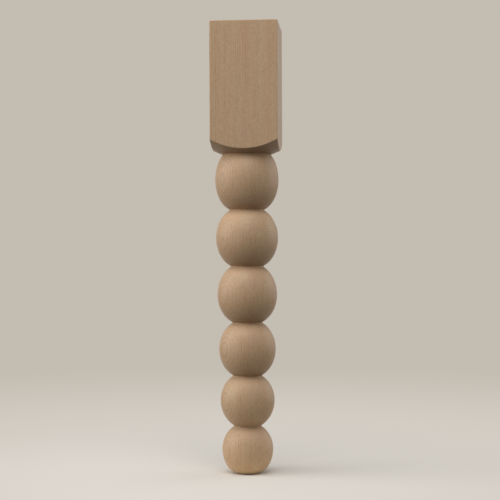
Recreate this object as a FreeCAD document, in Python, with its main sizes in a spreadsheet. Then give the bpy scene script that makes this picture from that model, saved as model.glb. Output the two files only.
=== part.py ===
"""Turned table leg: a square block over six graduated balls, one piece of solid maple.

Millimetres, +Z up. The origin is the centre of the foot and the block's faces look along X and Y.
"""
import FreeCAD, Part
import enum
import math
import os

import Sketcher

NODE = "turned_leg"
TURN = 360.0
UPWARD = 1
DOWNWARD = -1

# Driving dimensions. Ball 1 is the one under the block, and crease N is the V above ball N.
# A ball's widest ring is measured up from the crease or foot below it, and the ellipses of its outline
# are centred on its core, a ring inside it at the same height.
SIZES = {
    "block_width": 63.5,
    "block_length": 122.8,
    "edge_round": 0.6,
    "shoulder_rise": 12.3,
    "crease_1_diameter": 45.7,
    "ball_1_diameter": 60.3,
    "ball_1_core_diameter": 22.0,
    "ball_1_length": 52.7,
    "ball_1_widest": 28.5,
    "crease_2_diameter": 31.6,
    "ball_2_diameter": 59.0,
    "ball_2_core_diameter": 16.0,
    "ball_2_length": 53.6,
    "ball_2_widest": 26.9,
    "crease_3_diameter": 29.9,
    "ball_3_diameter": 56.7,
    "ball_3_core_diameter": 10.0,
    "ball_3_length": 53.5,
    "ball_3_widest": 26.2,
    "crease_4_diameter": 27.2,
    "ball_4_diameter": 53.9,
    "ball_4_core_diameter": 8.0,
    "ball_4_length": 50.5,
    "ball_4_widest": 25.2,
    "crease_5_diameter": 26.5,
    "ball_5_diameter": 51.4,
    "ball_5_core_diameter": 4.0,
    "ball_5_length": 47.7,
    "ball_5_widest": 24.3,
    "crease_6_diameter": 24.6,
    "ball_6_diameter": 48.4,
    "ball_6_core_diameter": 2.0,
    "ball_6_length": 44.7,
    "ball_6_widest": 22.7,
    "foot_diameter": 27.3,
    "centre_mark_diameter": 5.0,
    "centre_mark_depth": 4.3,
}

# The balls' numbers as the names above give them, from the block down
BALLS = [name.split("_")[1] for name in SIZES if name.startswith("ball_") and name.endswith("_length")]

# Expressions that several features share
TURNED_LENGTH = " + ".join(f"sizes.ball_{ball}_length" for ball in BALLS)
LEG_LENGTH = f"{TURNED_LENGTH} + sizes.block_length"
HALF_DIAGONAL = "sizes.block_width / sqrt(2)"


class Point(enum.IntEnum):
    """Sketcher's own numbers for the points of a line or an arc."""
    START = 1
    END = 2
    CENTRE = 3


class Axis(enum.IntEnum):
    """Sketcher's own numbers for a sketch's two axes."""
    ACROSS = -1
    UP = -2


ORIGIN = (Axis.ACROSS, Point.START)


def add_sheet(doc):
    """Put the driving dimensions in a spreadsheet, one aliased cell each."""
    sheet = doc.addObject("Spreadsheet::Sheet", "sizes")
    for row, (alias, value) in enumerate(SIZES.items(), start=1):
        sheet.set(f"A{row}", alias)
        sheet.set(f"B{row}", str(value))
        sheet.setAlias(f"B{row}", alias)
    doc.recompute()


def add_sketch(body, name, plane_role):
    """Add a sketch on one of the body's own origin planes."""
    sketch = body.newObject("Sketcher::SketchObject", name)
    plane = next(item for item in body.Origin.OriginFeatures if item.Role == plane_role)
    sketch.AttachmentSupport = [(plane, "")]
    sketch.MapMode = "FlatFace"
    return sketch


def constrain(sketch, kind, *places):
    """Add a constraint with no size of its own."""
    sketch.addConstraint(Sketcher.Constraint(kind, *places))


def dimension(sketch, kind, name, start, end, nominal, expression):
    """Add a distance between two points and bind it to the spreadsheet."""
    index = sketch.addConstraint(Sketcher.Constraint(kind, *start, *end, nominal))
    sketch.renameConstraint(index, name)
    sketch.setExpression(f"Constraints.{name}", expression)


def add_line(sketch, start, end):
    """Add a straight line between two sketch coordinates."""
    line = Part.LineSegment(FreeCAD.Vector(*start, 0), FreeCAD.Vector(*end, 0))
    return sketch.addGeometry(line, False)


def add_upright_ellipse(sketch, core, belly, end):
    """Add the part of an ellipse about the core that runs between a ball's widest ring and one end."""
    centre = FreeCAD.Vector(core, belly[1], 0)
    half_width = belly[0] - core
    half_height = abs(end[1] - belly[1]) / math.sqrt(1 - ((end[0] - core) / half_width) ** 2)
    peak = centre + FreeCAD.Vector(0, half_height, 0)
    ellipse = Part.Ellipse(peak, centre - FreeCAD.Vector(half_width, 0, 0), centre)
    turns = sorted(ellipse.parameter(FreeCAD.Vector(*point, 0)) for point in (belly, end))
    arc = sketch.addGeometry(Part.ArcOfEllipse(ellipse, *turns), False)
    sketch.exposeInternalGeometry(arc)
    long_axis = arc + 1
    constrain(sketch, "Vertical", long_axis)
    return arc


def add_arc(sketch, start, middle, end):
    """Add an arc through three sketch coordinates, running anticlockwise."""
    points = [FreeCAD.Vector(*point, 0) for point in (start, middle, end)]
    return sketch.addGeometry(Part.Arc(*points), False)


def close_loop(sketch, pieces):
    """Join lines and arcs end to start, and the last to the first."""
    for piece, following in zip(pieces, pieces[1:] + pieces[:1]):
        constrain(sketch, "Coincident", piece, Point.END, following, Point.START)


def turned_length():
    """Height of the shoulder's crease above the foot."""
    return sum(SIZES[f"ball_{ball}_length"] for ball in BALLS)


def add_block(doc, body):
    """Pad the square block above the turned length and ease all its edges but the lower four."""
    sketch = add_sketch(body, "block_section", "XY_Plane")
    sketch.setExpression("AttachmentOffset.Base.z", TURNED_LENGTH)
    half = SIZES["block_width"] / 2
    corners = [(-half, -half), (half, -half), (half, half), (-half, half)]
    sides = [add_line(sketch, *ends) for ends in zip(corners, corners[1:] + corners[:1])]
    front, right, back, left = sides
    close_loop(sketch, sides)
    for side in (front, back):
        constrain(sketch, "Horizontal", side)
    for side in (right, left):
        constrain(sketch, "Vertical", side)
    constrain(sketch, "Equal", front, right)
    constrain(sketch, "Symmetric", front, Point.START, back, Point.START, *ORIGIN)
    dimension(sketch, "DistanceX", "width", (front, Point.START), (front, Point.END),
              SIZES["block_width"], "sizes.block_width")

    block = body.newObject("PartDesign::Pad", "block")
    block.Profile = sketch
    block.setExpression("Length", "sizes.block_length")
    doc.recompute()

    mid_height = block.Shape.BoundBox.Center.z
    eased = [
        f"Edge{number}"
        for number, edge in enumerate(block.Shape.Edges, start=1)
        if edge.BoundBox.ZMax > mid_height
    ]
    rounds = body.newObject("PartDesign::Fillet", "eased_edges")
    rounds.Base = (block, eased)
    rounds.setExpression("Radius", "sizes.edge_round")
    doc.recompute()
    return rounds


def add_shoulder(doc, body, block):
    """Turn the block's lower end to a dome that climbs from the first crease to the four corners."""
    sketch = add_sketch(body, "shoulder_profile", "XZ_Plane")
    crease = (SIZES["crease_1_diameter"] / 2, turned_length())
    corner = (SIZES["block_width"] / 2 ** 0.5, turned_length() + SIZES["shoulder_rise"])
    outside = SIZES["block_width"]
    below = turned_length() - SIZES["shoulder_rise"]

    # The arc's middle is a first guess below its chord, and the constraints settle its true bulge
    first_guess = ((crease[0] + corner[0]) / 2, crease[1] + SIZES["shoulder_rise"] / 3)
    dome = add_arc(sketch, crease, first_guess, corner)
    top = add_line(sketch, corner, (outside, corner[1]))
    side = add_line(sketch, (outside, corner[1]), (outside, below))
    bottom = add_line(sketch, (outside, below), (crease[0], below))
    inside = add_line(sketch, (crease[0], below), crease)
    close_loop(sketch, [dome, top, side, bottom, inside])
    for line in (top, bottom):
        constrain(sketch, "Horizontal", line)
    for line in (side, inside):
        constrain(sketch, "Vertical", line)
    constrain(sketch, "PointOnObject", dome, Point.CENTRE, Axis.UP)

    places = [
        ("DistanceX", "crease_radius", (dome, Point.START), crease[0], "sizes.crease_1_diameter / 2"),
        ("DistanceY", "crease_height", (dome, Point.START), crease[1], TURNED_LENGTH),
        ("DistanceX", "corner_radius", (dome, Point.END), corner[0], HALF_DIAGONAL),
        ("DistanceX", "outside_radius", (side, Point.START), outside, "sizes.block_width"),
    ]
    for kind, name, point, nominal, expression in places:
        dimension(sketch, kind, name, ORIGIN, point, nominal, expression)
    dimension(sketch, "DistanceY", "rise", (dome, Point.START), (dome, Point.END),
              SIZES["shoulder_rise"], "sizes.shoulder_rise")
    dimension(sketch, "DistanceY", "below", (inside, Point.START), (inside, Point.END),
              SIZES["shoulder_rise"], "sizes.shoulder_rise")

    shoulder = body.newObject("PartDesign::Groove", "domed_shoulder")
    shoulder.Profile = sketch
    shoulder.ReferenceAxis = (sketch, ["V_Axis"])
    shoulder.Angle = TURN
    doc.recompute()
    if shoulder.Shape.Volume >= block.Shape.Volume:
        raise RuntimeError("the shoulder groove cut nothing")
    return shoulder


def add_balls(doc, body, shoulder):
    """Revolve the balls: each swells from one crease to its widest ring and closes to the next."""
    sketch = add_sketch(body, "ball_profile", "XZ_Plane")
    rim = (SIZES["foot_diameter"] / 2, 0)
    foot = add_line(sketch, (0, 0), rim)
    constrain(sketch, "Coincident", foot, Point.START, *ORIGIN)
    constrain(sketch, "PointOnObject", foot, Point.END, Axis.ACROSS)
    dimension(sketch, "DistanceX", "foot_radius", ORIGIN, (foot, Point.END),
              rim[0], "sizes.foot_diameter / 2")

    below = (foot, Point.END)
    low_end = rim
    for ball in reversed(BALLS):
        length = SIZES[f"ball_{ball}_length"]
        widest = SIZES[f"ball_{ball}_widest"]
        core = SIZES[f"ball_{ball}_core_diameter"] / 2
        belly = (SIZES[f"ball_{ball}_diameter"] / 2, low_end[1] + widest)
        high_end = (SIZES[f"crease_{ball}_diameter"] / 2, low_end[1] + length)
        swell = add_upright_ellipse(sketch, core, belly, low_end)
        close = add_upright_ellipse(sketch, core, belly, high_end)
        constrain(sketch, "Coincident", *below, swell, Point.START)
        constrain(sketch, "Coincident", swell, Point.END, close, Point.START)
        constrain(sketch, "Coincident", swell, Point.CENTRE, close, Point.CENTRE)
        constrain(sketch, "Horizontal", swell, Point.CENTRE, swell, Point.END)
        dimension(sketch, "DistanceX", f"ball_{ball}_core", ORIGIN, (swell, Point.CENTRE),
                  core, f"sizes.ball_{ball}_core_diameter / 2")
        dimension(sketch, "DistanceX", f"ball_{ball}_radius", ORIGIN, (swell, Point.END),
                  belly[0], f"sizes.ball_{ball}_diameter / 2")
        dimension(sketch, "DistanceY", f"ball_{ball}_widest", (swell, Point.START), (swell, Point.END),
                  widest, f"sizes.ball_{ball}_widest")
        dimension(sketch, "DistanceX", f"crease_{ball}_radius", ORIGIN, (close, Point.END),
                  high_end[0], f"sizes.crease_{ball}_diameter / 2")
        dimension(sketch, "DistanceY", f"ball_{ball}_length", (swell, Point.START), (close, Point.END),
                  length, f"sizes.ball_{ball}_length")
        below = (close, Point.END)
        low_end = high_end

    centre = (0, low_end[1])
    top = add_line(sketch, low_end, centre)
    axis = add_line(sketch, centre, (0, 0))
    constrain(sketch, "Coincident", *below, top, Point.START)
    constrain(sketch, "Horizontal", top)
    constrain(sketch, "Coincident", top, Point.END, axis, Point.START)
    constrain(sketch, "Coincident", axis, Point.END, *ORIGIN)
    constrain(sketch, "Vertical", axis)

    balls = body.newObject("PartDesign::Revolution", "turned_balls")
    balls.Profile = sketch
    balls.ReferenceAxis = (sketch, ["V_Axis"])
    balls.Angle = TURN
    doc.recompute()
    if balls.Shape.Volume <= shoulder.Shape.Volume:
        raise RuntimeError("the balls added nothing")


def add_centre_mark(doc, body, name, inward, end_height=None):
    """Cut the small cone that a lathe centre leaves in the middle of one end."""
    before = body.Shape.Volume
    radius = SIZES["centre_mark_diameter"] / 2
    depth = SIZES["centre_mark_depth"]
    tip = (0, inward * depth)
    sketch = add_sketch(body, f"{name}_profile", "XZ_Plane")
    if end_height:
        sketch.setExpression("AttachmentOffset.Base.y", end_height)
    mouth = add_line(sketch, (0, 0), (radius, 0))
    wall = add_line(sketch, (radius, 0), tip)
    axis = add_line(sketch, tip, (0, 0))
    close_loop(sketch, [mouth, wall, axis])
    constrain(sketch, "Coincident", mouth, Point.START, *ORIGIN)
    constrain(sketch, "PointOnObject", mouth, Point.END, Axis.ACROSS)
    constrain(sketch, "PointOnObject", wall, Point.END, Axis.UP)
    dimension(sketch, "DistanceX", "mouth_radius", ORIGIN, (mouth, Point.END),
              radius, "sizes.centre_mark_diameter / 2")
    deepest = (wall, Point.END)
    low, high = (ORIGIN, deepest) if inward == UPWARD else (deepest, ORIGIN)
    dimension(sketch, "DistanceY", "depth", low, high, depth, "sizes.centre_mark_depth")

    mark = body.newObject("PartDesign::Groove", name)
    mark.Profile = sketch
    mark.ReferenceAxis = (sketch, ["V_Axis"])
    mark.Angle = TURN
    doc.recompute()
    if mark.Shape.Volume >= before:
        raise RuntimeError(f"{name} cut nothing")


def check(doc, body):
    """Stop unless every object is sound and the leg is one valid solid."""
    for item in doc.Objects:
        if {"Invalid", "Error"} & set(item.State):
            raise RuntimeError(f"{item.Name} failed: {item.State}")
        if item.isDerivedFrom("Sketcher::SketchObject") and not item.FullyConstrained:
            raise RuntimeError(f"{item.Name} has a free size")
    shape = body.Shape
    if shape.isNull() or not shape.isValid():
        raise RuntimeError("the leg is not a valid shape")
    if len(shape.Solids) != 1:
        raise RuntimeError(f"the leg has {len(shape.Solids)} solids")


def main():
    doc = FreeCAD.newDocument("turned_leg")
    add_sheet(doc)
    body = doc.addObject("PartDesign::Body", "leg")
    body.Label = NODE
    block = add_block(doc, body)
    shoulder = add_shoulder(doc, body, block)
    add_balls(doc, body, shoulder)
    add_centre_mark(doc, body, "foot_mark", UPWARD)
    add_centre_mark(doc, body, "top_mark", DOWNWARD, LEG_LENGTH)
    check(doc, body)
    os.makedirs("parts", exist_ok=True)
    body.Shape.exportStep(f"parts/{body.Label}.step")
    box = body.Shape.optimalBoundingBox(False)
    print(f"{body.Label}: {box.XLength:.2f} x {box.YLength:.2f} x {box.ZLength:.2f} mm")


main()
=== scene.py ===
"""Looks of the turned table leg: a fine mesh, bare maple, a pale studio, soft light and the camera.

The leg's sizes and its grain's are in millimetres, as on the solid model, and the scene is in metres.
+Z is up, the foot's centre is the origin and the front of the block looks along -Y.
"""

import math
from collections import namedtuple

import bmesh
import bpy
from mathutils import Matrix, Vector


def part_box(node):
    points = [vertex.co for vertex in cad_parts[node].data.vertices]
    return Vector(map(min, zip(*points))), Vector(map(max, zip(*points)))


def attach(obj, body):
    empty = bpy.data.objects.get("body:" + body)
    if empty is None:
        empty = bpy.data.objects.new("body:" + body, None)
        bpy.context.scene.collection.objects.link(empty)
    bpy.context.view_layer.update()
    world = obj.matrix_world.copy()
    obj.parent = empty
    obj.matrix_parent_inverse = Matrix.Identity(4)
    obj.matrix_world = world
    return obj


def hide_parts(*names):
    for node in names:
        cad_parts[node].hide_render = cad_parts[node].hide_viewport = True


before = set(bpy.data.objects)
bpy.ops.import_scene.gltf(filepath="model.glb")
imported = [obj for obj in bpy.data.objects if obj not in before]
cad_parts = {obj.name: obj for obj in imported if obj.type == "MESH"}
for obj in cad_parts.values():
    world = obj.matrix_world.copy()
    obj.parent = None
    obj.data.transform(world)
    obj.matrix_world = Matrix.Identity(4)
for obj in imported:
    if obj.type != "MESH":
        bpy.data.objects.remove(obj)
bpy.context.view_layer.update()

MM = 0.001
NODE = "turned_leg"
BODY = "root"
PIECE = "turned_leg_visual"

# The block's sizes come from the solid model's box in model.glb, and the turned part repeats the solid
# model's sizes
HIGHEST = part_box(NODE)[1] / MM
BLOCK_HALF = HIGHEST.x
LEG_TOP = HIGHEST.z
EDGE_ROUND = 0.6
SHOULDER_RISE = 12.3
FOOT_DIAMETER = 27.3
CENTRE_MARK_DIAMETER = 5.0
CENTRE_MARK_DEPTH = 4.3

# From the block down: diameters of the crease above the ball, of the ball and of the core ring that the
# ellipses of its outline are centred on, then its length and how far up from below its widest ring lies
Ball = namedtuple("Ball", "crease diameter core length widest")
BALLS = [
    Ball(45.7, 60.3, 22.0, 52.7, 28.5),
    Ball(31.6, 59.0, 16.0, 53.6, 26.9),
    Ball(29.9, 56.7, 10.0, 53.5, 26.2),
    Ball(27.2, 53.9, 8.0, 50.5, 25.2),
    Ball(26.5, 51.4, 4.0, 47.7, 24.3),
    Ball(24.6, 48.4, 2.0, 44.7, 22.7),
]
TURNED_LENGTH = sum(ball.length for ball in BALLS)

# Sandpaper takes this much off the edge between the dome and the block's faces
ARRIS_EASE = 0.35

# The chisel leaves a small round in each crease between two balls, which starts this far up its sides
CREASE_EASE = 1.7
ROUND_PROFILE = 0.5

# The foot's rim is rounded over, from this far in on its flat to this far up its side
RIM_INSET = 4.0
RIM_RISE = 5.5

# Fineness of the mesh: the columns round the leg put one on each corner of the block
COLUMNS = 160
CORNER_COLUMNS = [COLUMNS * eighth // 8 for eighth in (1, 3, 5, 7)]
CORNER_STEPS = 4
ARC_STEPS = 14
DOME_STEPS = 10
ARRIS_STEPS = 4
CREASE_STEPS = 8
RIM_STEPS = 8
FACE_STEPS = 16
EDGE_STEPS = 4
FLAT_STEPS = 8
CONE_STEPS = 2
SHARP_ANGLE = math.radians(30)
QUARTER_TURN = math.radians(90)
TURNED_LAYER = "turned"


def add_object(name, data):
    """Put a mesh, a lamp or a camera in the scene."""
    thing = bpy.data.objects.new(name, data)
    bpy.context.scene.collection.objects.link(thing)
    return thing


# Rings of points
# A ring is a list of columns, and a column is a list of points: one, or several in a rounded corner.

def shares(steps):
    """Even steps from just above 0 up to 1."""
    return [step / steps for step in range(1, steps + 1)]


def circle(radius, height):
    """A ring of single points round the axis."""
    turns = [math.tau * column / COLUMNS for column in range(COLUMNS)]
    return [[Vector((radius * math.cos(turn), radius * math.sin(turn), height))] for turn in turns]


def blend_rings(first, second, share):
    """The ring that lies part of the way from one ring to another with the same columns."""
    return [
        [start.lerp(end, share) for start, end in zip(column, other)]
        for column, other in zip(first, second)
    ]


def ease(start, corner, end, share):
    """A point on the small curve that takes the place of a sharp corner."""
    return start.lerp(corner, share).lerp(corner.lerp(end, share), share)


def square_outline(half, corner_round):
    """Section of the block as (point, outward normal) pairs in columns, with its corners rounded."""
    outline = []
    for column in range(COLUMNS):
        turn = math.tau * column / COLUMNS
        direction = Vector((math.cos(turn), math.sin(turn), 0))
        reach = max(abs(direction.x), abs(direction.y))
        if column in CORNER_COLUMNS:
            centre = direction * (half - corner_round) / reach
            sweep = [turn + QUARTER_TURN * (step / CORNER_STEPS - 0.5) for step in range(CORNER_STEPS + 1)]
            normals = [Vector((math.cos(angle), math.sin(angle), 0)) for angle in sweep]
            outline.append([(centre + corner_round * normal, normal) for normal in normals])
            continue
        if abs(direction.x) > abs(direction.y):
            normal = Vector((math.copysign(1, direction.x), 0, 0))
        else:
            normal = Vector((0, math.copysign(1, direction.y), 0))
        outline.append([(direction * half / reach, normal)])
    return outline


# The leg's stretches, from the foot up, each as a list of rings

def foot_rings():
    """The foot's flat and the lathe mark in it, from the tip of the mark to where the rim turns up."""
    mark = CENTRE_MARK_DIAMETER / 2
    edge = FOOT_DIAMETER / 2 - RIM_INSET
    cone = [circle(mark * share, CENTRE_MARK_DEPTH * (1 - share)) for share in shares(CONE_STEPS)]
    flat = [circle(mark + (edge - mark) * share, 0) for share in shares(FLAT_STEPS)]
    return cone + flat


def swell(ball, end, height, short=0.0):
    """Half of a ball's outline, as (radius, distance from the widest ring) steps along its ellipse.

    The ellipse reaches the end radius at the given height, and the steps stop short of that by some height.
    """
    core = ball.core / 2
    half_width = ball.diameter / 2 - core
    half_height = height / math.sin(math.acos((end - core) / half_width))
    turn = math.asin((height - short) / half_height)
    angles = [turn * share for share in shares(ARC_STEPS)]
    return [(core + half_width * math.cos(angle), half_height * math.sin(angle)) for angle in angles]


def rim_rings():
    """The foot's rim, rounded over from its flat to the side of the lowest ball."""
    lowest = BALLS[-1]
    rim = Vector((FOOT_DIAMETER / 2, 0))
    start = rim - Vector((RIM_INSET, 0))
    radius, drop = swell(lowest, rim.x, lowest.widest, RIM_RISE)[-1]
    end = Vector((radius, lowest.widest - drop))
    return [circle(*ease(start, rim, end, share)) for share in shares(RIM_STEPS)]


def ball_rings():
    """The six balls, each of two swells, from the foot's rim to the crease under the block."""
    rings = []
    low_end = FOOT_DIAMETER / 2
    low = 0.0
    short = RIM_RISE
    for ball in reversed(BALLS):
        belly = low + ball.widest
        # The last step of the swell below the belly is left out, because that ring is there already
        under = swell(ball, low_end, ball.widest, short)[-2::-1]
        over = swell(ball, ball.crease / 2, ball.length - ball.widest)
        rings += [circle(radius, belly - drop) for radius, drop in under]
        rings.append(circle(ball.diameter / 2, belly))
        rings += [circle(radius, belly + rise) for radius, rise in over]
        low_end = ball.crease / 2
        low += ball.length
        short = 0.0
    return rings


class Dome:
    """The turned end of the block: part of a ball on the axis, through the crease and the corners."""
    crease = BALLS[0].crease / 2
    corner = BLOCK_HALF * math.sqrt(2)
    centre = TURNED_LENGTH + ((corner ** 2 - crease ** 2) / SHOULDER_RISE + SHOULDER_RISE) / 2
    radius = math.hypot(crease, centre - TURNED_LENGTH)

    @classmethod
    def lift(cls, point):
        """The point on the dome at the same place in plan."""
        height = cls.centre - math.sqrt(cls.radius ** 2 - point.x ** 2 - point.y ** 2)
        return Vector((point.x, point.y, height))


def dome_rings(outline):
    """The dome, from the crease out to where its edge is eased."""
    crease = circle(Dome.crease, 0)
    edge = [[point - normal * ARRIS_EASE for point, normal in column] for column in outline]
    middle = [[column[len(column) // 2]] for column in edge]
    rings = [blend_rings(crease, middle, share) for share in shares(DOME_STEPS)[:-1]] + [edge]
    return [[[Dome.lift(point) for point in column] for column in ring] for ring in rings]


def arris_point(point, normal, share):
    """A point on the eased edge between the dome and a face, beside a point of the block's section."""
    corner = Dome.lift(point)
    start = Dome.lift(point - normal * ARRIS_EASE)
    end = corner + Vector((0, 0, ARRIS_EASE))
    return ease(start, corner, end, share)


def arris_rings(outline):
    """The eased edge between the dome and the block's faces."""
    return [
        [[arris_point(point, normal, share) for point, normal in column] for column in outline]
        for share in shares(ARRIS_STEPS)
    ]


def face_rings(arris, outline):
    """The block's four faces, from the eased edge up to where the top edge starts to turn."""
    face_top = LEG_TOP - EDGE_ROUND
    top = [[Vector((point.x, point.y, face_top)) for point, normal in column] for column in outline]
    return [blend_rings(arris, top, share) for share in shares(FACE_STEPS)]


def top_edge_rings(outline):
    """The rounded top edge, where each rounded corner closes to a single point."""
    rings = []
    for share in shares(EDGE_STEPS):
        angle = QUARTER_TURN * share
        inset = EDGE_ROUND * (1 - math.cos(angle))
        height = LEG_TOP - EDGE_ROUND * (1 - math.sin(angle))
        ring = [
            [Vector((*(point - normal * inset).xy, height)) for point, normal in column]
            for column in outline
        ]
        rings.append(ring)
    rings[-1] = [column[:1] for column in rings[-1]]
    return rings


def top_rings(edge):
    """The sawn top and the lathe mark in it, ending at the ring before the mark's tip."""
    radius = CENTRE_MARK_DIAMETER / 2
    mark = circle(radius, LEG_TOP)
    flat = [blend_rings(edge, mark, share) for share in shares(FLAT_STEPS)]
    cone = [
        circle(radius * (1 - share), LEG_TOP - CENTRE_MARK_DEPTH * share)
        for share in shares(CONE_STEPS)[:-1]
    ]
    return flat + cone


# The leg's mesh

def turned_on(ring):
    """The ring's columns moved one place round, so that each pairs with its neighbour."""
    return ring[1:] + ring[:1]


def bridge(mesh, lower, upper):
    """Faces between two rings: a column of one point meets a column of several in a fan."""
    faces = []
    for column, above, beside, far_corner in zip(lower, upper, turned_on(lower), turned_on(upper)):
        for step in range(max(len(column), len(above)) - 1):
            near = column[step:step + 2] if len(column) > 1 else column
            far = above[step:step + 2] if len(above) > 1 else above
            faces.append(mesh.faces.new(near + far[::-1]))
        faces.append(mesh.faces.new((column[-1], beside[0], far_corner[0], above[-1])))
    return faces


def close_tip(mesh, ring, tip, upward):
    """Close a cone's last ring on its tip."""
    for column, beside in zip(ring, turned_on(ring)):
        corners = (column[0], beside[0], tip) if upward else (beside[0], column[0], tip)
        mesh.faces.new(corners)


def round_creases(mesh, creases):
    """Round the bottoms of creases, each given as its ring."""
    edges = [
        mesh.edges.get((column[0], beside[0]))
        for ring in creases
        for column, beside in zip(ring, turned_on(ring))
    ]
    bmesh.ops.bevel(mesh, geom=edges, offset=CREASE_EASE * MM, offset_type="OFFSET",
                    segments=CREASE_STEPS, profile=ROUND_PROFILE, affect="EDGES")


def make_leg():
    """One closed mesh that stands for the solid, its faces marked as turned or planed."""
    outline = square_outline(BLOCK_HALF, EDGE_ROUND)
    foot = foot_rings()
    turned = rim_rings() + ball_rings() + dome_rings(outline)
    arris = arris_rings(outline)
    edge = top_edge_rings(outline)
    planed = arris + face_rings(arris[-1], outline) + edge + top_rings(edge[-1])

    mesh = bmesh.new()
    layer = mesh.faces.layers.float.new(TURNED_LAYER)
    rings = [
        [[mesh.verts.new(point * MM) for point in column] for column in ring]
        for ring in foot + turned + planed
    ]
    first_turned = len(foot) - 1
    first_planed = first_turned + len(turned)
    for index, (lower, upper) in enumerate(zip(rings, rings[1:])):
        for face in bridge(mesh, lower, upper):
            face[layer] = float(first_turned <= index < first_planed)
    foot_tip = mesh.verts.new((0, 0, CENTRE_MARK_DEPTH * MM))
    top_tip = mesh.verts.new((0, 0, (LEG_TOP - CENTRE_MARK_DEPTH) * MM))
    close_tip(mesh, rings[0], foot_tip, upward=False)
    close_tip(mesh, rings[-1], top_tip, upward=True)
    first_ball = first_turned + RIM_STEPS
    round_creases(mesh, [rings[first_ball + 2 * ARC_STEPS * number] for number in range(1, len(BALLS))])

    data = bpy.data.meshes.new(PIECE)
    mesh.to_mesh(data)
    mesh.free()
    data.shade_smooth()
    data.set_sharp_from_angle(angle=SHARP_ANGLE)
    leg = add_object(PIECE, data)
    normals = leg.modifiers.new("flat_faces_stay_flat", "WEIGHTED_NORMAL")
    normals.keep_sharp = True
    return leg


# Materials

# Blender's noise swings about this value
NOISE_MIDDLE = 0.5


class Graph:
    """Short words for building a material or a world from nodes."""

    def __init__(self, owner):
        self.owner = owner
        owner.use_nodes = True
        self.tree = owner.node_tree
        self.tree.nodes.clear()

    def node(self, kind, inputs=None, **settings):
        """Add a node, with settings by name and inputs by name or number, each a socket or a constant."""
        node = self.tree.nodes.new(kind)
        for name, value in settings.items():
            setattr(node, name, value)
        for key, value in (inputs or {}).items():
            if isinstance(value, bpy.types.NodeSocket):
                self.tree.links.new(value, node.inputs[key])
            else:
                node.inputs[key].default_value = value
        return node

    def math(self, operation, first, second=0.0):
        """Work out one number from one or two."""
        return self.node("ShaderNodeMath", {0: first, 1: second}, operation=operation).outputs[0]

    def vector(self, operation, first, second=(0.0, 0.0, 0.0)):
        """Work out a vector from one or two, or the length of one."""
        node = self.node("ShaderNodeVectorMath", {0: first, 1: second}, operation=operation)
        return node.outputs["Value" if operation == "LENGTH" else "Vector"]

    def split(self, vector):
        """A vector's x, y and z."""
        return self.node("ShaderNodeSeparateXYZ", {0: vector}).outputs

    def join(self, x, y, z):
        """A vector from its x, y and z."""
        return self.node("ShaderNodeCombineXYZ", {0: x, 1: y, 2: z}).outputs[0]

    def noise(self, place, size, detail=2.0, roughness=0.5):
        """Soft noise about 0, within half a unit, whose features are about the given size across."""
        vector = self.vector("DIVIDE", place, size)
        inputs = {"Vector": vector, "Scale": 1.0, "Detail": detail, "Roughness": roughness}
        return self.math("SUBTRACT", self.node("ShaderNodeTexNoise", inputs).outputs["Fac"], NOISE_MIDDLE)

    def random(self, value):
        """A number from 0 to 1 for each whole number."""
        return self.node("ShaderNodeTexWhiteNoise", {"W": value}, noise_dimensions="1D").outputs["Value"]

    def spread(self, value, low, high, start=0.0, end=1.0, smooth=True):
        """Map low..high to start..end and hold it there."""
        kind = "SMOOTHSTEP" if smooth else "LINEAR"
        inputs = {"Value": value, "From Min": low, "From Max": high, "To Min": start, "To Max": end}
        return self.node("ShaderNodeMapRange", inputs, interpolation_type=kind).outputs["Result"]

    def mix(self, share, first, second):
        """Mix two colours, which are inputs 6 and 7 of the node. The mixed colour is its output 2."""
        inputs = {"Factor": share, 6: first, 7: second}
        return self.node("ShaderNodeMix", inputs, data_type="RGBA").outputs[2]

    def sum(self, *terms):
        """Add up (strength, value) pairs."""
        total = 0.0
        for strength, value in terms:
            total = self.math("ADD", total, self.math("MULTIPLY", value, strength))
        return total


def linear(red, green, blue):
    """A colour given as 0 to 255 on screen, as the shader takes it."""
    levels = [level / 255 for level in (red, green, blue)]
    curve = [level / 12.92 if level <= 0.04045 else ((level + 0.055) / 1.055) ** 2.4 for level in levels]
    return (*curve, 1.0)


# Bare maple, all lengths in millimetres
# The pith that the growth rings run round stands outside the leg, in front on the left, and leans a bit
PITH = Vector((-48.8, -42.9, 0.0))
PITH_LEAN = Vector((0.025, -0.0285, 0.0))
PITH_LEAN_ZERO = 170.0

# The grain wanders from the straight: how far, and over what size of wave
WANDERS = [
    (4.0, Vector((60.0, 60.0, 130.0))),
    (0.8, Vector((14.0, 14.0, 26.0))),
]

# Growth rings: their mean width, how unevenly they lie, and where in a ring its thin dark line falls
RING_WIDTH = 1.6
RING_UNEVENNESS = 1.0
RING_DRIFT_SIZE = 6.0
RING_DRIFT_DETAIL = 1.0
LINE_RISE = (0.55, 0.88)
LINE_FALL = (1.0, 0.92)
FAINTEST_LINE = 0.45
LINE_BREAK_SIZE = Vector((4.0, 4.0, 26.0))
LINE_BREAK = (-0.12, 0.10)

# Sizes of the finer features: across the grain both ways, then along it; rays run out from the pith
TONE_SIZE = Vector((8.0, 8.0, 200.0))
STREAK_SIZE = Vector((1.4, 1.4, 18.0))
FLECK_SIZE = Vector((0.9, 0.9, 2.6))
FIBRE_SIZE = Vector((0.4, 0.4, 7.0))
FIBRE_DETAIL = 3.0
FIBRE_BREAKUP = 0.6
PORE_SIZE = Vector((0.2, 0.2, 2.4))
PORE_THRESHOLD = (0.10, 0.22)
RAY_SIZE = Vector((3.0, 0.35, 1.3))
RAY_DETAIL = 1.0
RAY_THRESHOLD = (0.08, 0.22)
LATHE_LINE_SIZE = Vector((0.45, 0.45, 0.45))

# How far a surface must lean from upright to show end grain, with its painted shade tint, and to count as a
# sawn end
END_GRAIN_AND_SHADE_RISE = (0.55, 1.0)
SAWN_RISE = (0.90, 1.0)

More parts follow.
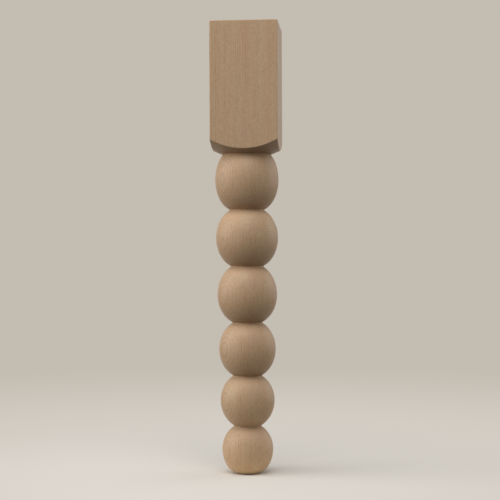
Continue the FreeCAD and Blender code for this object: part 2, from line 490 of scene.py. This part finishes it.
# Share of the way from pale to dark wood: the plain ground, then what each feature adds or takes
GROUND_SHADE = 0.235
LATE_WOOD_SHADE = 0.36
TONE_SHADE = 0.12
STREAK_SHADE = 0.17
FLECK_SHADE = 0.60
FIBRE_SHADE = 0.33
PORE_SHADE = 0.12
RAY_SHADE = 0.10
TURNED_SHADE = 0.03
SAWN_SHADE = 0.10
SAWN_RING_SHADE = 0.30
SAWN_RAY_SHADE = 0.15

# Colours: bands take the pale wood from straw to rose over this swing, and end grain has its own share; its
# greyer colour is partly painted shade, standing in for the cooler shade on the balls' steep tops and
# undersides
STRAW_WOOD = linear(206, 176, 140)
ROSY_WOOD = linear(208, 173, 137)
HUE_SWING = (-0.22, 0.22)
DARK_WOOD = linear(146, 108, 75)
END_GRAIN_AND_SHADE_WOOD = linear(168, 147, 126)
END_GRAIN_AND_SHADE_SHARE = 0.30

# Fine relief: its full height, how strongly it shows, and how far each feature rises or sinks in it
RELIEF_HEIGHT = 0.12
RELIEF_STRENGTH = 0.35
FIBRE_RELIEF = 0.5
PORE_RELIEF = -0.35
RAY_RELIEF = -0.2
LATE_WOOD_RELIEF = 0.3
LATHE_RELIEF = 0.35

# Sheen and gloss: fibres and bands move the roughness through its range over this swing
ROUGHNESS_RANGE = (0.42, 0.54)
ROUGHNESS_SWING = (-0.2, 0.2)
FIBRE_ROUGHNESS = 0.6
TONE_ROUGHNESS = 0.4
REFRACTION = 1.46
SHEEN_WEIGHT = 0.25
SHEEN_ROUGHNESS = 0.2


def make_maple():
    """Bare sanded maple: growth rings, streaks, fibres, pores and ray flecks, with fine lathe lines."""
    graph = Graph(bpy.data.materials.new("bare_maple"))
    place = graph.node("ShaderNodeTexCoord").outputs["Object"]
    place = graph.vector("MULTIPLY", place, (1 / MM,) * 3)
    x, y, z = graph.split(place)

    # Place across the grain, measured from the leaning pith and warped so that the grain wanders
    wander = graph.join(0.0, 0.0, 0.0)
    for reach, size in WANDERS:
        inputs = {"Vector": graph.vector("DIVIDE", place, size), "Scale": 1.0}
        waves = graph.node("ShaderNodeTexNoise", inputs).outputs["Color"]
        shift = graph.vector("SUBTRACT", waves, (NOISE_MIDDLE,) * 3)
        wander = graph.vector("ADD", wander, graph.vector("MULTIPLY", shift, (reach, reach, 0.0)))
    height = graph.math("SUBTRACT", z, PITH_LEAN_ZERO)
    lean = graph.vector("MULTIPLY", graph.join(height, height, 0.0), PITH_LEAN)
    pith = graph.vector("ADD", PITH, lean)
    across = graph.vector("ADD", graph.vector("SUBTRACT", graph.join(x, y, 0.0), pith), wander)
    grain = graph.vector("ADD", across, graph.join(0.0, 0.0, z))
    distance = graph.vector("LENGTH", across)
    turn = graph.math("ARCTAN2", graph.split(across)[1], graph.split(across)[0])
    polar = graph.join(distance, graph.math("MULTIPLY", turn, PITH.length), z)

    # Growth rings of uneven width, each with a thin darker line of late wood near its outer edge
    inputs = {"W": distance, "Scale": 1 / RING_DRIFT_SIZE, "Detail": RING_DRIFT_DETAIL}
    uneven = graph.node("ShaderNodeTexNoise", inputs, noise_dimensions="1D").outputs["Fac"]
    rings = graph.sum((1 / RING_WIDTH, distance), (RING_UNEVENNESS, uneven))
    within = graph.math("FRACT", rings)
    depth = graph.spread(graph.random(graph.math("FLOOR", rings)), 0.0, 1.0, FAINTEST_LINE, 1.0)
    breaks = graph.noise(grain, LINE_BREAK_SIZE)
    depth = graph.math("MULTIPLY", depth, graph.spread(breaks, *LINE_BREAK, FAINTEST_LINE, 1.0))
    line = graph.math("MULTIPLY", graph.spread(within, *LINE_RISE), graph.spread(within, *LINE_FALL))
    late_wood = graph.math("MULTIPLY", line, depth)

    # Bands, streaks, flecks, fibres and pores along the grain, and rays across it
    tone = graph.noise(grain, TONE_SIZE)
    streaks = graph.noise(grain, STREAK_SIZE)
    flecks = graph.noise(grain, FLECK_SIZE)
    fibres = graph.noise(grain, FIBRE_SIZE, FIBRE_DETAIL, FIBRE_BREAKUP)
    pores = graph.spread(graph.noise(grain, PORE_SIZE), *PORE_THRESHOLD)
    rays = graph.spread(graph.noise(polar, RAY_SIZE, RAY_DETAIL), *RAY_THRESHOLD)

    # The ends of the fibres drink light, so steep ends are a little darker. Their greyer tint is also
    # painted shade, standing in for the cooler shade on the balls' steep tops and undersides near the
    # creases
    normal = graph.node("ShaderNodeNewGeometry").outputs["Normal"]
    steepness = graph.math("ABSOLUTE", graph.split(normal)[2])
    end_grain_and_shade = graph.spread(steepness, *END_GRAIN_AND_SHADE_RISE)
    turned = graph.node("ShaderNodeAttribute", attribute_name=TURNED_LAYER).outputs["Fac"]
    level = graph.spread(steepness, *SAWN_RISE)
    sawn = graph.math("MULTIPLY", level, graph.math("SUBTRACT", 1.0, turned))

    shade = graph.sum(
        (LATE_WOOD_SHADE, late_wood),
        (TONE_SHADE, tone),
        (STREAK_SHADE, streaks),
        (FLECK_SHADE, flecks),
        (FIBRE_SHADE, fibres),
        (PORE_SHADE, pores),
        (RAY_SHADE, rays),
        (TURNED_SHADE, turned),
        (SAWN_SHADE, sawn),
        (SAWN_RING_SHADE, graph.math("MULTIPLY", late_wood, sawn)),
        (SAWN_RAY_SHADE, graph.math("MULTIPLY", rays, sawn)),
    )
    shade = graph.math("ADD", shade, GROUND_SHADE)
    colour = graph.mix(graph.spread(tone, *HUE_SWING), STRAW_WOOD, ROSY_WOOD)
    colour = graph.mix(shade, colour, DARK_WOOD)
    # Partly painted shade: steep surfaces turn darker and greyer, both as end grain and as the cooler shade
    # near the creases
    colour = graph.mix(graph.math("MULTIPLY", end_grain_and_shade, END_GRAIN_AND_SHADE_SHARE), colour, END_GRAIN_AND_SHADE_WOOD)

    # Sanded fibres all over, and hair-thin lathe lines round the turned part
    from_axis = graph.join(graph.vector("LENGTH", graph.join(x, y, 0.0)), 0.0, z)
    lathe = graph.noise(from_axis, LATHE_LINE_SIZE)
    relief = graph.sum(
        (FIBRE_RELIEF, fibres),
        (PORE_RELIEF, pores),
        (RAY_RELIEF, rays),
        (LATE_WOOD_RELIEF, late_wood),
        (LATHE_RELIEF, graph.math("MULTIPLY", lathe, turned)),
    )
    inputs = {"Height": relief, "Strength": RELIEF_STRENGTH, "Distance": RELIEF_HEIGHT * MM}
    bump = graph.node("ShaderNodeBump", inputs).outputs["Normal"]
    unevenness = graph.sum((FIBRE_ROUGHNESS, fibres), (TONE_ROUGHNESS, tone))
    roughness = graph.spread(unevenness, *ROUGHNESS_SWING, *ROUGHNESS_RANGE, smooth=False)
    shader = graph.node("ShaderNodeBsdfPrincipled", {
        "Base Color": colour,
        "Roughness": roughness,
        "IOR": REFRACTION,
        "Normal": bump,
        "Sheen Weight": SHEEN_WEIGHT,
        "Sheen Roughness": SHEEN_ROUGHNESS,
    })
    graph.node("ShaderNodeOutputMaterial", {"Surface": shader.outputs["BSDF"]})
    return graph.owner


# Floor and backdrop
FLOOR_RADIUS = 4.0
FLOOR_CORNERS = 96
FLOOR_COLOUR = linear(224, 219, 211)
PAPER_GLOW = linear(213, 207, 198)
BACKDROP_COLOUR = linear(196, 189, 178)

# The lit paper about the foot gives way to an even glow, which fades into the backdrop further off
PAPER_REACH = (0.08, 0.40)
GLOW_REACH = (0.15, 1.10)

# What the floor throws back on the leg: pale paper about the foot and little from further off
NEAR_BOUNCE = linear(236, 231, 215)
FAR_BOUNCE = linear(56, 57, 58)
BOUNCE_REACH = (0.03, 0.13)


def seen_directly(graph):
    """1 where the camera, a reflection or clear glass looks on, and 0 where light only passes on."""
    rays = graph.node("ShaderNodeLightPath").outputs
    seen = graph.math("MAXIMUM", rays["Is Camera Ray"], rays["Is Glossy Ray"])
    return graph.math("MAXIMUM", seen, rays["Is Transmission Ray"])


def make_floor():
    """A plain pale floor that keeps the leg's shadow and fades into the backdrop."""
    mesh = bmesh.new()
    bmesh.ops.create_circle(mesh, cap_ends=True, segments=FLOOR_CORNERS, radius=FLOOR_RADIUS)
    data = bpy.data.meshes.new("floor")
    mesh.to_mesh(data)
    mesh.free()
    floor = add_object("floor", data)

    graph = Graph(bpy.data.materials.new("pale_paper"))
    place = graph.node("ShaderNodeNewGeometry").outputs["Position"]
    distance = graph.vector("LENGTH", place)
    seen = seen_directly(graph)
    bounce = graph.mix(graph.spread(distance, *BOUNCE_REACH), NEAR_BOUNCE, FAR_BOUNCE)
    paper = graph.node("ShaderNodeBsdfDiffuse", {"Color": graph.mix(seen, bounce, FLOOR_COLOUR)})
    glow = graph.mix(graph.spread(distance, *GLOW_REACH), PAPER_GLOW, BACKDROP_COLOUR)
    backdrop = graph.node("ShaderNodeEmission", {"Color": glow})
    fade = graph.math("MULTIPLY", seen, graph.spread(distance, *PAPER_REACH))
    surface = graph.node("ShaderNodeMixShader", {0: fade, 1: paper.outputs[0], 2: backdrop.outputs[0]})
    graph.node("ShaderNodeOutputMaterial", {"Surface": surface.outputs[0]})
    data.materials.append(graph.owner)


# Camera, as the photograph was taken: level, a little right of square on, and rolled by a hair
# Distances are in metres and turns in degrees
IMAGE_WIDTH = 500
FOCAL_PIXELS = 1220
SENSOR_WIDTH = 36.0
CAMERA_TURN = 5.3
CAMERA_DISTANCE = 1.1627
CAMERA_HEIGHT = 0.2119
CAMERA_RIGHT = 0.00273
CAMERA_ROLL = 0.207


def facing(turn, rise=0.0):
    """Unit vector away from the leg, in degrees to the right of its front and degrees up."""
    turn = math.radians(turn)
    rise = math.radians(rise)
    return Vector((math.sin(turn) * math.cos(rise), -math.cos(turn) * math.cos(rise), math.sin(rise)))


def make_camera():
    """The camera, at the photograph's place, angle and length of lens."""
    data = bpy.data.cameras.new("camera")
    data.sensor_width = SENSOR_WIDTH
    data.lens = FOCAL_PIXELS * SENSOR_WIDTH / IMAGE_WIDTH
    camera = add_object("camera", data)
    back = facing(CAMERA_TURN)
    right = Vector((-back.y, back.x, 0))
    level = (-back).to_track_quat("-Z", "Y").to_matrix().to_4x4()
    level.translation = back * CAMERA_DISTANCE + right * CAMERA_RIGHT + Vector((0, 0, CAMERA_HEIGHT))
    camera.matrix_world = level @ Matrix.Rotation(-math.radians(CAMERA_ROLL), 4, "Z")
    bpy.context.scene.camera = camera


# Light: each lamp's degrees to the left of the camera's line and degrees up, then metres and watts
Lamp = namedtuple("Lamp", "name left up distance width height watts")
LAMPS = [
    Lamp("left_window", 85, 17, 2.6, 2.0, 1.5, 27.5),
    Lamp("left_high", 65, 48, 1.3, 1.0, 1.0, 4.4),
    Lamp("high_front", 0, 57, 1.4, 1.0, 1.0, 7.8),
    Lamp("right_wall", -112, 12, 2.6, 2.0, 2.0, 16.5),
]
LAMP_AIM = Vector((0, 0, 0.2))
ROOM_LIGHT = (0.40, 0.40, 0.40, 1.0)


def make_lights():
    """Soft lamps on the left, high in front and on the right, with even light from the room."""
    for lamp in LAMPS:
        light = bpy.data.lights.new(lamp.name, "AREA")
        light.shape = "RECTANGLE"
        light.size = lamp.width
        light.size_y = lamp.height
        light.energy = lamp.watts
        away = facing(CAMERA_TURN - lamp.left, lamp.up)
        holder = add_object(lamp.name, light)
        holder.location = LAMP_AIM + away * lamp.distance
        holder.rotation_euler = (-away).to_track_quat("-Z", "Y").to_euler()
    graph = Graph(bpy.data.worlds.new("room"))
    colour = graph.mix(seen_directly(graph), ROOM_LIGHT, BACKDROP_COLOUR)
    room = graph.node("ShaderNodeBackground", {"Color": colour})
    graph.node("ShaderNodeOutputWorld", {"Surface": room.outputs[0]})
    bpy.context.scene.world = graph.owner


leg = make_leg()
leg.data.materials.append(make_maple())
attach(leg, BODY)
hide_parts(NODE)
make_floor()
make_lights()
make_camera()
bpy.context.scene.view_settings.view_transform = "Standard"
